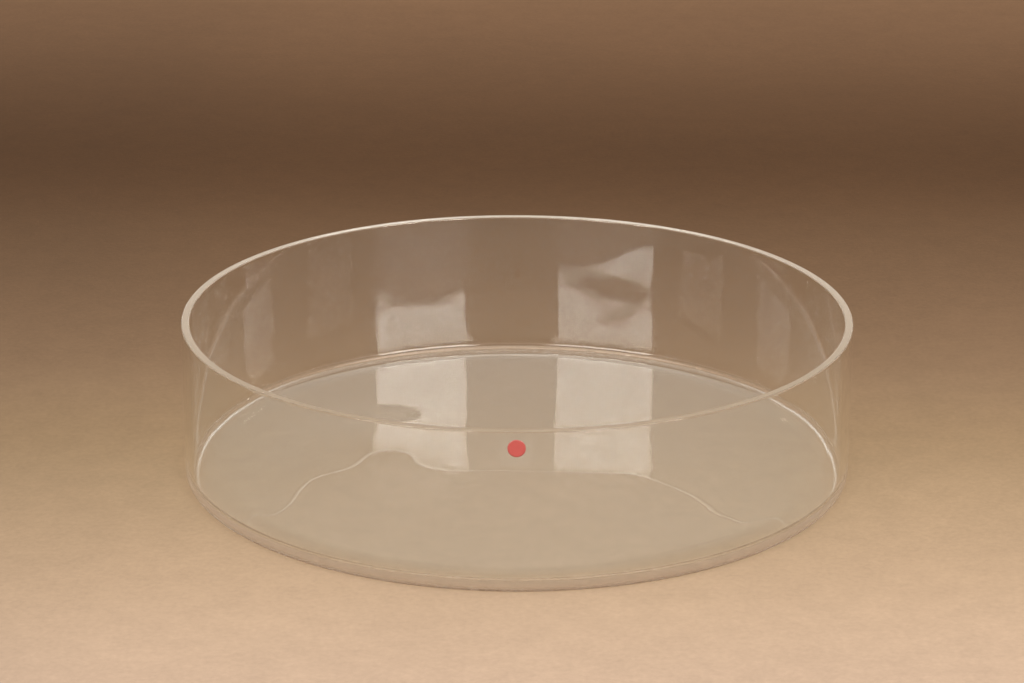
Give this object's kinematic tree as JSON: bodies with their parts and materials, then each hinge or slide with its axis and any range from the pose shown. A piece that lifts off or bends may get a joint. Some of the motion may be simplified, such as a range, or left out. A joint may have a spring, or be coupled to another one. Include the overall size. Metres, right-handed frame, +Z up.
{
  "type": "round glass dish",
  "caption": "Large clear glass dish with a straight vertical wall, a flat ground rim and a flat base, shaped like an oversize petri dish, with a small round sticker on the wall.",
  "frame": {"origin": "centre of the flat base, on the surface that the dish stands on", "axes": "+Z up along the dish's axis, out of its open mouth; -Y towards the small sticker on the wall; +X to the right as seen from the sticker's side"},
  "size_m": [0.32, 0.321, 0.0765],
  "materials": {
    "clear_glass": "polished, clear, faint grey-green in the thick edges",
    "clear_film": "thin clear sticker film",
    "red_ink": "printed red, slightly glossy"
  },
  "bodies": {
    "root": {"glass_dish": "clear_glass", "label_film": "clear_film", "label_dot": "red_ink"}
  },
  "joints": []
}
